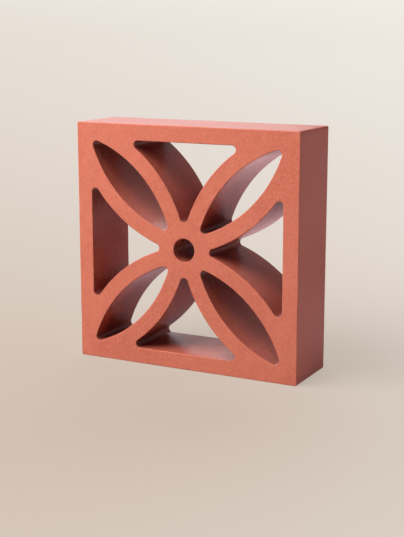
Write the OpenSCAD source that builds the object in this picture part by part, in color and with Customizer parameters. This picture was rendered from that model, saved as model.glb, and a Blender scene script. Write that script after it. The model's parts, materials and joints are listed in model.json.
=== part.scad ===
// Breeze block: a square screen block of fired clay, pierced by four petals on its diagonals,
// four spandrels against its frame and a bore through its hub. It is one piece of clay.
// Millimetres. The block stands on its lower bed, with +Z up and its openings along Y.

/* [Block] */
// Side of the square face
side = 190; // [180:1:240]
// Depth from face to face
depth = 55; // [40:1:100]
// Thickness of the frame, and of the ribs that run beside the petals
web = 12.7; // [10:0.1:15]
// Width of the bevel on every edge
arris = 0.7; // [0.3:0.1:1.5]

/* [Openings] */
// Diameter of the solid hub, on which the petals end
hub_d = 43.4; // [38:0.2:50]
// Width of a petal at its middle
petal_w = 25.7; // [22:0.1:30]
// Radius in the petal tips and in the corners of the spandrels
corner_r = 3.2; // [2:0.1:4]
// Diameter of the bore through the hub
bore_d = 18; // [12:0.5:22]

/* [Hidden] */
clay = [0.82, 0.42, 0.32];
past = 1;       // how far a cutter runs past a face
lap = 0.005;    // extra radius of a corner circle, so that it crosses the walls it joins
cusp = 6 * corner_r;    // further than two walls run on past a corner circle before they meet
$fn = 144;

// A petal is a lens in the middle of one quarter of the face, along the diagonal. Two arcs of
// radius petal_r bound it, and a circle rounds each tip, tip_run from the middle.
petal_mid = side * sqrt(2) / 4;
tip_run = petal_mid - hub_d / 2 - corner_r;
petal_r = (pow(tip_run, 2) + pow(petal_w / 2, 2) - pow(corner_r, 2)) / (petal_w - 2 * corner_r);
arc_rise = petal_r - petal_w / 2;

// One centre serves the lower arc of the +X +Y petal and, a web further out, the upper side
// of the +X spandrel, so the rib between them is equally thick all along.
arc_at = [side / 4 - arc_rise / sqrt(2), side / 4 + arc_rise / sqrt(2)];
spandrel_r = petal_r + web;

// Inner face of the frame, and the circles that round the spandrel's point and corners.
wall_x = side / 2 - web;
reach = spandrel_r + corner_r;
point_at = [arc_at.x + sqrt(pow(reach, 2) - pow(arc_at.y, 2)), 0];
corner_x = wall_x - corner_r;
corner_at = [corner_x, arc_at.y - sqrt(pow(reach, 2) - pow(corner_x - arc_at.x, 2))];

// At each of those circles the two walls touch at an angle of spread either side of a bisector.
tip_spread = acos(tip_run / (petal_r - corner_r));
point_spread = atan2(arc_at.y, point_at.x - arc_at.x);
corner_spread = atan2(arc_at.y - corner_at.y, arc_at.x - corner_at.x) / 2;

// A block of height h across the X axis, from x = a0 to b0 at its foot and a1 to b1 at its top.
module bar(h, a0, b0, a1, b1, width) {
    rotate([90, 0, 0])
        linear_extrude(width, center = true)
            polygon([[a0, 0], [b0, 0], [b1, h], [a1, h]]);
}

// Everything beyond the line where the walls leave a corner circle, toward +X.
module beyond(h, g0, g1, spread) {
    start = [for (g = [g0, g1]) (corner_r + g) * cos(spread)];
    bar(h, start[0], cusp, start[1], cusp, cusp);
}

// The circle that rounds a corner.
module rounding(h, g0, g1) {
    cylinder(h, corner_r + g0 + lap, corner_r + g1 + lap);
}

// The void of the petal on the +X axis, grown by g0 at its foot and by g1 at its top.
module petal_void(h, g0, g1) {
    translate([petal_mid, 0]) {
        difference() {
            intersection_for (s = [-1, 1])
                translate([0, s * arc_rise]) cylinder(h, petal_r + g0, petal_r + g1);
            for (turn = [0, 180])
                rotate(turn) translate([tip_run, 0]) beyond(h, g0, g1, tip_spread);
        }
        for (x = [-tip_run, tip_run])
            translate([x, 0]) rounding(h, g0, g1);
    }
}

// The void of the spandrel on the +X axis.
module spandrel_void(h, g0, g1) {
    difference() {
        bar(h, point_at.x - corner_r, wall_x + g0, point_at.x - corner_r, wall_x + g1, side);
        for (s = [0, 1])
            mirror([0, s, 0]) {
                translate(arc_at) cylinder(h, spandrel_r - g0, spandrel_r - g1);
                translate(corner_at) rotate(corner_spread) beyond(h, g0, g1, corner_spread);
            }
        translate(point_at) rotate(180) beyond(h, g0, g1, point_spread);
    }
    for (at = [point_at, corner_at, [corner_at.x, -corner_at.y]])
        translate(at) rounding(h, g0, g1);
}

// All the voids of the face, from z = 0 to z = h.
module voids(h, g0 = 0, g1 = 0) {
    for (turn = [0:90:270]) {
        rotate(turn + 45) petal_void(h, g0, g1);
        rotate(turn) spandrel_void(h, g0, g1);
    }
    cylinder(h, bore_d / 2 + g0, bore_d / 2 + g1);
}

// A rectangle with its corners cut off by the width of the arris.
module bevelled_rectangle(w, h) {
    x = w / 2;
    y = h / 2;
    polygon([[x - arris, -y], [x, arris - y], [x, y - arris], [x - arris, y],
             [arris - x, y], [-x, y - arris], [-x, arris - y], [arris - x, -y]]);
}

// The square slab, bevelled on its twelve edges.
module slab() {
    intersection() {
        linear_extrude(depth, center = true) bevelled_rectangle(side, side);
        rotate([90, 0, 0]) linear_extrude(side, center = true) bevelled_rectangle(side, depth);
        rotate([0, 90, 0]) linear_extrude(side, center = true) bevelled_rectangle(depth, side);
    }
}

// The voids run straight through the slab, and open out by the arris at both faces.
module breeze_block() {
    color(clay)
    translate([0, 0, side / 2])
    rotate([90, 0, 0])
    difference() {
        slab();
        translate([0, 0, -depth / 2 - past]) voids(depth + 2 * past);
        for (face = [0, 1])
            mirror([0, 0, face])
                translate([0, 0, depth / 2 - arris]) voids(arris + past, 0, arris + past);
    }
}

breeze_block();
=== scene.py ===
import json
import math

import bpy
import numpy as np
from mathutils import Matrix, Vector


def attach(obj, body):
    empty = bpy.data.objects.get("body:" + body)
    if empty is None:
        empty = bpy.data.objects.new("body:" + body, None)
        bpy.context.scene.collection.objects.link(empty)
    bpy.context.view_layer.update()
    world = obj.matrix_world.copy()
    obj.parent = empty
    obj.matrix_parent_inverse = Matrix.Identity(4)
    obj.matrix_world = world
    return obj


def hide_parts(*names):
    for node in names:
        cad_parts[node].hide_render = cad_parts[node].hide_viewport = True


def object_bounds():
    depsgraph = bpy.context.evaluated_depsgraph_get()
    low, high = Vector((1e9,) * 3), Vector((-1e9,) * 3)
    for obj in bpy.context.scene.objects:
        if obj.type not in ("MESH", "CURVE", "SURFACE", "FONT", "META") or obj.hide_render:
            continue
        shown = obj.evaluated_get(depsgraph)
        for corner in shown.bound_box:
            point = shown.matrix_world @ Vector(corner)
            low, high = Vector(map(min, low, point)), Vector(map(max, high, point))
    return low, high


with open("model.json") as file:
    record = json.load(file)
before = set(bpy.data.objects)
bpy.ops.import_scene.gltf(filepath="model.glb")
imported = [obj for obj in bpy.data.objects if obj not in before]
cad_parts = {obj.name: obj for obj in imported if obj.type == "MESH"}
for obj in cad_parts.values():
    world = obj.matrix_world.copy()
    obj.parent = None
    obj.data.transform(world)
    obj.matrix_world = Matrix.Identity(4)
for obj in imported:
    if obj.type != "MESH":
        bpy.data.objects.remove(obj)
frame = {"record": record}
cad_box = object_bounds()
low, high = cad_box
scene = bpy.context.scene
scene.view_settings.view_transform = "Standard"


# ---- Camera -------------------------------------------------------------------------------
# The camera stands in front of the block, to its right and a little above it, and looks just
# past the hub. A long lens keeps the square face close to square.

camera_azimuth, camera_elevation = 27.456, 11.809
camera_range = 0.8915
lens_mm, sensor_mm = 77.96, 36
aim_right, aim_down = 0.0140, 0.0137
hub_centre = Vector((0, low.y, (low.z + high.z) / 2))


def outward(azimuth, elevation):
    """Unit vector away from the block. Azimuth turns it from straight in front to the right,
    and elevation lifts it from level, both in degrees."""
    azimuth, elevation = math.radians(azimuth), math.radians(elevation)
    return Vector((math.sin(azimuth) * math.cos(elevation),
                   -math.cos(azimuth) * math.cos(elevation),
                   math.sin(elevation)))


def set_up(name, data, aim, away, distance):
    """A camera or lamp at a distance from its aim, in the direction away, looking back at it."""
    made = bpy.data.objects.new(name, data)
    made.location = aim + distance * away
    made.rotation_euler = away.to_track_quat("Z", "Y").to_euler()
    scene.collection.objects.link(made)
    return made


back = outward(camera_azimuth, camera_elevation)
right = Vector((0, 0, 1)).cross(back).normalized()
down = right.cross(back)
aim = hub_centre + aim_right * right + aim_down * down
optics = bpy.data.cameras.new("camera")
optics.sensor_width = sensor_mm
optics.lens = lens_mm
scene.camera = set_up("camera", optics, aim, back, camera_range)


# ---- Clay block ---------------------------------------------------------------------------
# One piece of fired clay. It is pushed through a die as a pierced column, so every opening runs
# straight through, and a wire cuts it to depth. Handling and firing soften its arrises.

half = (high.x - low.x) / 2
half_depth = (high.y - low.y) / 2
web = 12.7e-3
hub_radius = 21.7e-3
petal_width = 25.7e-3
tip_radius = 3.2e-3
bore_radius = next(mount["dims"]["r_mm"] for mount in frame["record"]["mounts"]
                   if mount["name"] == "hub_bore") / 1000
arris = 0.5e-3
lip = 0.3e-3
outer_radius = 1.3e-3

# The petal is a lens on the diagonal, between two arcs. Its lower arc and the spandrel's upper
# side share a centre, a web apart.
petal_middle = half / math.sqrt(2)
tip_run = petal_middle - hub_radius - tip_radius
petal_arc = (tip_run**2 + petal_width**2 / 4 - tip_radius**2) / (petal_width - 2 * tip_radius)
rise = (petal_arc - petal_width / 2) / math.sqrt(2)
arc_centre = np.array([half / 2 - rise, half / 2 + rise])
inner_tip = np.array([1, 1]) * (petal_middle - tip_run) / math.sqrt(2)
outer_tip = np.array([1, 1]) * (petal_middle + tip_run) / math.sqrt(2)

# The spandrel lies between that arc, its mirror image and the frame. A circle rounds its point
# and each of its corners.
rib_arc = petal_arc + web
reach = rib_arc + tip_radius
frame_wall = half - web
point = np.array([arc_centre[0] + math.sqrt(reach**2 - arc_centre[1]**2), 0])
corner_x = frame_wall - tip_radius
corner = np.array([corner_x, arc_centre[1] - math.sqrt(reach**2 - (corner_x - arc_centre[0])**2)])
outer_corner = np.full(2, half - outer_radius)


def heading(start, stop):
    """Angle in degrees of the line from start to stop."""
    return math.degrees(math.atan2(stop[1] - start[1], stop[0] - start[0]))


def arc(centre, radius, first, last, cells, into=1):
    """Rows of x, z and the direction into the clay, along a circle from angle first to last.
    A point is the centre plus radius times (cos, sin), and into the clay is into times that."""
    angle = np.radians(np.linspace(first, last, cells + 1))
    out = np.stack([np.cos(angle), np.sin(angle)], -1)
    return np.hstack([centre + radius * out, into * out])


def straight(start, stop, into, cells):
    """The same rows along a straight wall, with one direction into the clay."""
    line = np.linspace(start, stop, cells + 1)
    return np.hstack([line, np.broadcast_to(into, line.shape)])


def join(*curves):
    """The curves end to end, with each shared point kept once."""
    return np.vstack([curves[0]] + [curve[1:] for curve in curves[1:]])


# One eighth of the face lies between the axis of a spandrel and the diagonal of a petal. These
# are its walls. Each runs so that the clay is on its left. The spandrel's corner is split at
# its bisector, bend degrees from the axis, and its height there is the shelf.
around, across, along, down_frame = 5, 10, 60, 24
inner_end, outer_end = heading(arc_centre, inner_tip), heading(arc_centre, outer_tip)
petal_wall = join(
    arc(outer_tip, tip_radius, 45, outer_end, around),
    arc(arc_centre, petal_arc, outer_end, inner_end, along + around),
    arc(inner_tip, tip_radius, inner_end, -135, around))
bend = heading(corner, arc_centre) / 2
rib_wall = join(
    arc(point, tip_radius, 180, heading(point, arc_centre), around),
    arc(arc_centre, rib_arc, heading(arc_centre, point), heading(arc_centre, corner), along, -1),
    arc(corner, tip_radius, 2 * bend, bend, around))
frame_line = join(
    arc(corner, tip_radius, bend, 0, around),
    straight([frame_wall, corner[1]], [frame_wall, 0], [1, 0], down_frame))
bore_wall = arc(np.zeros(2), bore_radius, 45, 0, across + 2 * around)
shelf = corner[1] + tip_radius * math.sin(math.radians(bend))
outer_side = straight([half, 0], [half, shelf], [-1, 0], down_frame + around)
corner_side = join(
    straight([half, shelf], [half, outer_corner[1]], [-1, 0], across),
    arc(outer_corner, outer_radius, 0, 45, around, -1))


def eased(start, stop, cells):
    """Points on a line, half evenly spaced and half drawn toward both ends by a cosine."""
    step = np.linspace(0, 1, cells + 1)
    step = (step + (1 - np.cos(np.pi * step)) / 2) / 2
    return start + step[:, None] * (np.asarray(stop) - start)


def run(curve):
    """Distance along the curve at each point, from 0 at its start to 1 at its end."""
    steps = np.linalg.norm(np.diff(curve, axis=0), axis=1)
    return np.append(0, np.cumsum(steps)) / steps.sum()


def patch(first, last, near, far):
    """Coons's surface on four curves: the ruled surface from near to far, plus the one from
    first to last, less the flat one through the four corners."""
    u, v = run(near)[:, None, None], run(first)[None, :, None]
    ruled = (1 - v) * near[:, None] + v * far[:, None]
    crossed = (1 - u) * first[None] + u * last[None]
    flat = ((1 - u) * ((1 - v) * first[0] + v * first[-1])
            + u * ((1 - v) * last[0] + v * last[-1]))
    return ruled + crossed - flat


def edge(wall):
    """Where the flat face begins beside a wall: its curve moved into the clay past the arris."""
    return wall[:, :2] + (arris + lip) * wall[:, 2:]


petal_edge, corner_edge, outer_edge = (edge(wall)[::-1] for wall in
                                       (petal_wall, corner_side, outer_side))
rib_edge, frame_edge, bore_edge = edge(rib_wall), edge(frame_line), edge(bore_wall)
root_line = eased(petal_edge[around], rib_edge[around], across)
tip_line = eased(petal_edge[-1 - around], rib_edge[-1], across)
shelf_line = eased(rib_edge[-1], outer_edge[0], across)
hub_line = join(petal_edge[:around + 1], root_line, rib_edge[around::-1])
corner_line = join(petal_edge[:-2 - around:-1], tip_line)
hub_patch = patch(bore_edge, hub_line,
                  eased(bore_edge[0], petal_edge[0], across),
                  eased(bore_edge[-1], rib_edge[0], across))
rib_patch = patch(root_line, tip_line, petal_edge[around:-around], rib_edge[around:])
corner_patch = patch(corner_line, corner_edge,
                     eased(petal_edge[-1], corner_edge[0], across), shelf_line)
frame_patch = patch(shelf_line, eased(frame_edge[-1], outer_edge[-1], across),
                    frame_edge, outer_edge)


def face_grid(flat):
    """Rows of place, normal and arris share for a flat patch of the front face."""
    place = np.insert(flat, 1, -half_depth, axis=-1)
    rest = np.broadcast_to([0, -1, 0, 0], (*flat.shape[:2], 4))
    return np.concatenate([place, rest], -1)


def wall_grid(wall, deep=8):
    """The same rows for a wall, carried back from the front face to mid depth. Its section is
    the flat lip, a quarter circle where the normal turns by t, and the straight wall in deep
    cells. A point lies arris * (1 - sin t) into the clay and arris * (1 - cos t) from the face."""
    t = np.radians([0, 0, 22.5, 45, 67.5, 90, 90])
    into = arris * (1 - np.sin(t))
    into[0] += lip
    depth = arris * (1 - np.cos(t))
    depth[-1] += lip
    rest = np.linspace(depth[-1], half_depth, deep + 1)[1:]
    t = np.append(t, np.full(deep, np.pi / 2))[:, None]
    into = np.append(into, np.zeros(deep))[:, None]
    depth = np.append(depth, rest)[:, None]
    x, z, into_x, into_z = wall.T
    return np.stack(np.broadcast_arrays(
        x + into * into_x, depth - half_depth, z + into * into_z,
        -np.sin(t) * into_x, -np.cos(t), -np.sin(t) * into_z, np.sin(2 * t)), -1)


def quads(rows, columns, start):
    """Corner numbers of the cells of a grid whose points are numbered from start, row by row."""
    number = np.arange(rows * columns).reshape(rows, columns) + start
    return np.stack([number[:-1, :-1], number[1:, :-1], number[1:, 1:], number[:-1, 1:]],
                    -1).reshape(-1, 4)


grids = [face_grid(flat) for flat in (hub_patch, rib_patch, corner_patch, frame_patch)]
grids += [wall_grid(wall) for wall in
          (petal_wall, rib_wall, frame_line, bore_wall, corner_side, outer_side)]
starts = np.cumsum([0] + [grid.shape[0] * grid.shape[1] for grid in grids])
eighth = np.vstack([grid.reshape(-1, grid.shape[-1]) for grid in grids])
cells = np.vstack([quads(*grid.shape[:2], start) for grid, start in zip(grids, starts)])

# The eighth is turned and mirrored into the whole of both faces, and the copies are welded where
# they meet. A cell that then runs the wrong way round its normal is turned over.
quarter_turn = np.array([[0, 0, -1], [0, 1, 0], [1, 0, 0]])
copies = np.array([np.linalg.matrix_power(quarter_turn, count) @ np.diag([1, y, z])
                   for count in range(4) for y in (1, -1) for z in (1, -1)])
place, normal = (np.einsum("cij,nj->cni", copies, part).reshape(-1, 3)
                 for part in (eighth[:, :3], eighth[:, 3:6]))
rounded = np.tile(eighth[:, 6], len(copies))
cells = (cells + len(eighth) * np.arange(len(copies))[:, None, None]).reshape(-1, 4)
same_place = 1e-7
_, first, number = np.unique(np.rint(place / same_place).astype(int), axis=0,
                             return_index=True, return_inverse=True)
place, normal, rounded = place[first], normal[first], rounded[first]
cells = number.reshape(-1)[cells]
diagonals = place[cells[:, 2:]] - place[cells[:, :2]]
inward = (np.cross(diagonals[:, 0], diagonals[:, 1]) * normal[cells].mean(1)).sum(1) < 0
cells[inward] = cells[inward][:, ::-1]

# Where a point lies: within an opening's walls, and how near to a tip, point or corner of one, or
# to the middle of the bore. That nearness sets the painted shade in the tips of the openings and
# in the bore.
tip_shade_reach, tip_shade_fall = 21e-3, 1.5
folded = np.sort(np.abs(place[:, [0, 2]]), axis=1)[:, ::-1]
opening = folded[:, 0] < (frame_wall + half) / 2
to_tip = np.min([np.linalg.norm(folded - centre, axis=1)
                 for centre in (inner_tip, outer_tip, point, corner, np.zeros(2))], axis=0)
tip_shade_share = (1 - (to_tip - tip_radius) / tip_shade_reach).clip(0, 1)**tip_shade_fall


def unevenness(place, length, seed, waves=12):
    """Smooth random heights, about 1 from middle to crest. Sine waves of one length, each with
    its own direction and phase, are added and divided by the square root of their number."""
    random = np.random.default_rng(seed)
    ways = random.normal(size=(waves, 3))
    ways *= math.tau / length / np.linalg.norm(ways, axis=1, keepdims=True)
    phases = random.uniform(0, math.tau, waves)
    return np.sin(place @ ways.T + phases).sum(1) / math.sqrt(waves)


# Drying and firing leave the faces a little out of flat, and handling wears the arrises. Both
# only take clay away from the true surface.
warp, wear, most_taken = 0.06e-3, 0.07e-3, 0.3e-3
warp_waves = 0.6 * unevenness(place, 0.09, 3) + 0.3 * unevenness(place, 0.016, 5)
wear_waves = unevenness(place, 0.021, 7) + 0.6 * unevenness(place, 0.006, 9)
taken = warp * (1 + warp_waves) + wear * rounded * (1 + wear_waves)
place -= normal * taken.clip(0, most_taken)[:, None]
place[:, 2] += (low.z + high.z) / 2

mesh = bpy.data.meshes.new("clay_block")
mesh.from_pydata(place, [], cells)
mesh.shade_smooth()
for name, share in (("arris", rounded), ("cut_face", np.abs(normal[:, 1])),
                    ("opening", opening), ("tip", tip_shade_share)):
    mesh.attributes.new(name, "FLOAT", "POINT").data.foreach_set("value", share.astype(np.float32))
clay_block = bpy.data.objects.new("clay_block", mesh)
scene.collection.objects.link(clay_block)


class Signal:
    """What one socket gives, in a material or the world. Arithmetic on it adds Math nodes."""

    def __init__(self, tree, socket=None):
        self.tree = tree
        self.socket = socket

    def node(self, kind, settings=None, inputs=None, output=0):
        """Adds a node of a kind to the tree. Its settings are made first, and its sockets then
        take numbers, colours or other signals. The signal of one of its outputs comes back."""
        made = self.tree.nodes.new("ShaderNode" + kind)
        for name, value in (settings or {}).items():
            setattr(made, name, value)
        for name, value in (inputs or {}).items():
            if isinstance(value, Signal):
                self.tree.links.new(value.socket, made.inputs[name])
            else:
                made.inputs[name].default_value = value
        return Signal(self.tree, made.outputs[output] if made.outputs else None)

    def also(self, output):
        """Another output of the same node."""
        return Signal(self.tree, self.socket.node.outputs[output])

    def math(self, operation, first, second):
        """A Math node on two signals or numbers."""
        return self.node("Math", {"operation": operation}, {0: first, 1: second})

    def __add__(self, other):
        return self.math("ADD", self, other)

    def __sub__(self, other):
        return self.math("SUBTRACT", self, other)

    def __rsub__(self, other):
        return self.math("SUBTRACT", other, self)

    def __mul__(self, other):
        return self.math("MULTIPLY", self, other)

    def __truediv__(self, other):
        return self.math("DIVIDE", self, other)

    def __rtruediv__(self, other):
        return self.math("DIVIDE", other, self)

    __radd__ = __add__
    __rmul__ = __mul__


def cleared(owner):
    """A new material's or world's node tree, emptied, as a signal to start from."""
    owner.use_nodes = True
    owner.node_tree.nodes.clear()
    return Signal(owner.node_tree)


def mixed(share, under, over):
    """The colour under, turned into the colour over by a share from 0 to 1."""
    return share.node("Mix", {"data_type": "RGBA"}, {0: share, 6: under, 7: over}, 2)


def ramp(value, start, stop):
    """0 where a value is at start or before it, 1 at stop or past it, and smooth between."""
    return value.node("MapRange", {"interpolation_type": "SMOOTHSTEP"},
                      {0: value, 1: start, 2: stop, 3: 0, 4: 1})


def noise(spot, lumps, detail=2, rough=0.5):
    """Cloudy noise from 0 to 1, with lumps of a size along X, Y and Z in metres."""
    spot = spot.node("VectorMath", {"operation": "DIVIDE"}, {0: spot, 1: lumps})
    return spot.node("TexNoise", {}, {"Vector": spot, "Scale": 1, "Detail": detail,
                                      "Roughness": rough})


def specks(spot, apart, radius, spread):
    """Round specks, 1 at the middle and 0 outside: cells of a size with a spot in each, whose
    radius is a share of the cell and changes by a spread from cell to cell."""
    cell = spot.node("TexVoronoi", {}, {"Vector": spot, "Scale": 1 / apart})
    size = cell.node("SeparateColor", {}, {0: cell.also("Color")})
    return 1 - ramp(cell - size * spread, radius * 0.5, radius)


fired_clay = bpy.data.materials.new("fired_clay")
start = cleared(fired_clay)
spot = start.node("TexCoord", output="Object")
worn = start.node("Attribute", {"attribute_name": "arris"}, output="Fac")
cut_face = start.node("Attribute", {"attribute_name": "cut_face"}, output="Fac")
inside = (1 - cut_face) * start.node("Attribute", {"attribute_name": "opening"}, output="Fac")
shaded_tips = inside * start.node("Attribute", {"attribute_name": "tip"}, output="Fac")

cloud = noise(spot, (0.05, 0.05, 0.05), detail=3)
mottle = noise(spot, (0.007, 0.007, 0.007), detail=4)
grain = noise(spot, (0.0014, 0.0014, 0.0014), rough=0.7)
die_streaks = noise(spot, (0.0016, 0.09, 0.0016), detail=3)
wire_drag = noise(spot, (0.0013, 0.01, 0.05), detail=3)
drag = cut_face * wire_drag + (1 - cut_face) * die_streaks
dark_grog = specks(spot, apart=0.0043, radius=0.075, spread=0.06)
pale_grog = specks(spot, apart=0.0037, radius=0.06, spread=0.05)
pores = specks(spot, apart=0.0029, radius=0.07, spread=0.06)

# The cut faces show the clay's own colour, grainy and flecked with grog. The die leaves a darker,
# closer skin on the walls; inside the openings that darker tone is laid on in full as painted
# shade, and the tips of the openings and the bore get more painted shade still. Rubbing pales an
# arris.
clay_deep, clay_warm = (0.575, 0.143, 0.086, 1), (0.635, 0.168, 0.105, 1)
die_skin_and_shade, tip_shade_tone = (0.425, 0.092, 0.058, 1), (0.2, 0.045, 0.03, 1)
mottle_tone, grain_tone = (0.5, 0.115, 0.07, 1), (0.68, 0.215, 0.14, 1)
drag_tone, rubbed_tone = (0.48, 0.105, 0.063, 1), (0.7, 0.22, 0.14, 1)
dark_grog_tone, pale_grog_tone = (0.28, 0.06, 0.04, 1), (0.75, 0.34, 0.24, 1)
colour = mixed(ramp(cloud, 0.36, 0.64), clay_deep, clay_warm)
# The outer walls take part of the darker skin as their own tone; the walls inside the openings
# take it in full, which is painted shade.
colour = mixed((1 - cut_face) * 0.7 + inside * 0.3, colour, die_skin_and_shade)
colour = mixed(ramp(mottle, 0.38, 0.66) * 0.35, colour, mottle_tone)
colour = mixed(ramp(grain, 0.35, 0.68) * (0.3 + cut_face * 0.4), colour, grain_tone)
colour = mixed(ramp(drag, 0.45, 0.75) * 0.12, colour, drag_tone)
colour = mixed(dark_grog * 0.12, colour, dark_grog_tone)
colour = mixed(pale_grog * 0.2, colour, pale_grog_tone)
# Painted shade: the tips of the openings and the bore are darkened toward a near-black tone.
colour = mixed(shaded_tips * 0.6, colour, tip_shade_tone)
colour = mixed(worn * ramp(mottle, 0.3, 0.7) * 0.2, colour, rubbed_tone)

# Heights are in millimetres. The die burnishes the openings' walls, so they are smoother.
millimetre = 0.001
height = grain * (0.006 + cut_face * 0.009) + mottle * 0.05 + drag * 0.01 - pores * 0.006
relief = start.node("Bump", {}, {"Height": height, "Distance": millimetre, "Strength": 1})
outer_roughness, burnish = 0.29, 0.14
roughness = outer_roughness - inside * burnish + mottle * 0.1 + grain * 0.04 + shaded_tips * 0.1
surface = start.node("BsdfPrincipled", {}, {"Base Color": colour, "Roughness": roughness,
                                            "Normal": relief})
start.node("OutputMaterial", {}, {"Surface": surface})
mesh.materials.append(fired_clay)

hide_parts("breeze_block")
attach(clay_block, "root")


# ---- Floor and backdrop -------------------------------------------------------------------
# A wide sheet of matt paper under the block. Its tone carries painted shade: it is warmer and
# darker round a place near the block, pales away from there, and passes into a backdrop of the
# same tone without a horizon.

floor_radius, rim_points = 10, 96
angle = np.linspace(0, math.tau, rim_points, endpoint=False)
rim = floor_radius * np.stack([np.cos(angle), np.sin(angle), 0 * angle], -1)
floor_mesh = bpy.data.meshes.new("floor")
floor_mesh.from_pydata(rim + [0, 0, low.z], [], [range(rim_points)])
floor = bpy.data.objects.new("floor", floor_mesh)
scene.collection.objects.link(floor)

near_tone, far_tone = (0.636, 0.523, 0.439, 1), (0.871, 0.831, 0.775, 1)
palest = 1.2
half_way = 0.556
lighter_way = (0.73, 0.38, 0)
foot, darkest = (0, 0, low.z), (0.06, -0.115, low.z)


def distance_from(spot, place):
    """Distance from each spot to a place."""
    return spot.node("VectorMath", {"operation": "DISTANCE"}, {0: spot, 1: place}, "Value")


def dot(spot, way):
    """How far each spot lies along a way: their dot product."""
    return spot.node("VectorMath", {"operation": "DOT_PRODUCT"}, {0: spot, 1: way}, "Value")


def near(spot, place, radius):
    """1 at a place, falling smoothly to 0 at a radius from it."""
    return 1 - ramp(distance_from(spot, place), 0, radius)


def scaled(colour, factor):
    """A colour made brighter or darker by a factor."""
    return colour.node("VectorMath", {"operation": "SCALE"}, {0: colour, "Scale": factor})


def paper_tone(share):
    """The paper's tone, from the near one at a share of 0 to the far one at the palest share."""
    return mixed(share / palest, near_tone, far_tone)


# With d the distance from the darkest place and s the way toward the lighter side, the share is
# (d + s) / (d + half_way).
paper = bpy.data.materials.new("pale_paper")
start = cleared(paper)
spot = start.node("TexCoord", output="Object")
from_darkest = distance_from(spot, darkest)
tone = paper_tone((from_darkest + dot(spot, lighter_way)) / (from_darkest + half_way))

# A reflection sees painted light on the paper: painted shade beside the block, a bright painted
# pool of light behind it to the left and a painted shaded patch behind it to the right. This
# painted reflection gives the clay's sheens.
sheen_tone, pool_tone = (0.56, 0.37, 0.41, 1), (1.44, 0.9, 0.94, 1)
pool_place, shade_place = (-0.06, 0.43, low.z), (0.14, 0.43, low.z)
pool_radius, shade_radius = 0.24, 0.22
pool, shade = near(spot, pool_place, pool_radius), near(spot, shade_place, shade_radius)
from_foot = distance_from(spot, foot)
dimness = (0.4 + 0.6 * ramp(from_foot, 0.07, 0.18)) * (1 - shade * 0.8)
reflected = scaled(mixed(pool, sheen_tone, pool_tone), dimness)

# The camera sees the paper's own tone. Near the block part of it is left to the lamps, which
# keeps the block's shadow on the paper.
seen = start.node("LightPath", output="Is Camera Ray")
glossy = seen.also("Is Glossy Ray")
own_share = 0.7 + 0.3 * ramp(from_foot, 0.1, 0.5)
shown_share = (seen + seen.also("Is Transmission Ray")) * own_share + glossy
lamp_lit_level = 0.68
lit = start.node("BsdfDiffuse", {}, {"Color": scaled(tone, lamp_lit_level)})
shown = start.node("Emission", {}, {"Color": mixed(glossy, tone, reflected)})
surface = start.node("MixShader", {}, {0: shown_share, 1: lit, 2: shown})
start.node("OutputMaterial", {}, {"Surface": surface})
floor_mesh.materials.append(paper)


# ---- Studio light -------------------------------------------------------------------------
# The camera sees the backdrop all round. A reflection sees a dim room with a paler ceiling and a
# glow low on the left, and everything else gets a dim even fill.

backdrop_paling = 0.24
fill_tone, ceiling_tone = (0.02, 0.02, 0.02, 1), (0.3, 0.28, 0.3, 1)
room_tone, glow_tone = (0.08, 0.1, 0.12, 1), (0.61, 0.6, 0.73, 1)
world = bpy.data.worlds.new("studio")
scene.world = world
start = cleared(world)
way = start.node("TexCoord", output="Generated")
rightward = start.node("SeparateXYZ", {}, {0: way}, "X")
upward = rightward.also("Z")
rim_share = (1 + dot(way, lighter_way)) * (floor_radius / (floor_radius + half_way))
backdrop = paper_tone(rim_share + ramp(upward, -0.02, 0.05) * backdrop_paling)
room = mixed(ramp(upward, 0.2, 0.5), room_tone, ceiling_tone)
room = mixed(ramp(upward + rightward * 0.3, -0.06, 0.08), glow_tone, room)
seen = start.node("LightPath", output="Is Camera Ray")
mirrored = seen.also("Is Glossy Ray") + seen.also("Is Transmission Ray")
colour = mixed(seen, mixed(mirrored, fill_tone, room), backdrop)
background = start.node("Background", {}, {"Color": colour})
start.node("OutputWorld", {}, {"Surface": background})

# Each soft box has a name, azimuth and elevation in degrees, a side in metres and its watts. The
# key is large and stands in front, to the left. Only the box at the back shows in reflections.
block_centre = Vector((0, 0, (low.z + high.z) / 2))
lamp_range = 1.2
lamps = [("key", -37, 50, 1.1, 27.5),
         ("back", -143, 34, 0.8, 3.3),
         ("behind", -160, 15, 0.7, 5.5),
         ("right", 105, 20, 0.7, 2.8)]
for name, azimuth, elevation, side, watts in lamps:
    box = bpy.data.lights.new(name, "AREA")
    box.size = side
    box.energy = watts
    lamp = set_up(name, box, block_centre, outward(azimuth, elevation), lamp_range)
    lamp.visible_camera = False
    lamp.visible_glossy = name == "back"
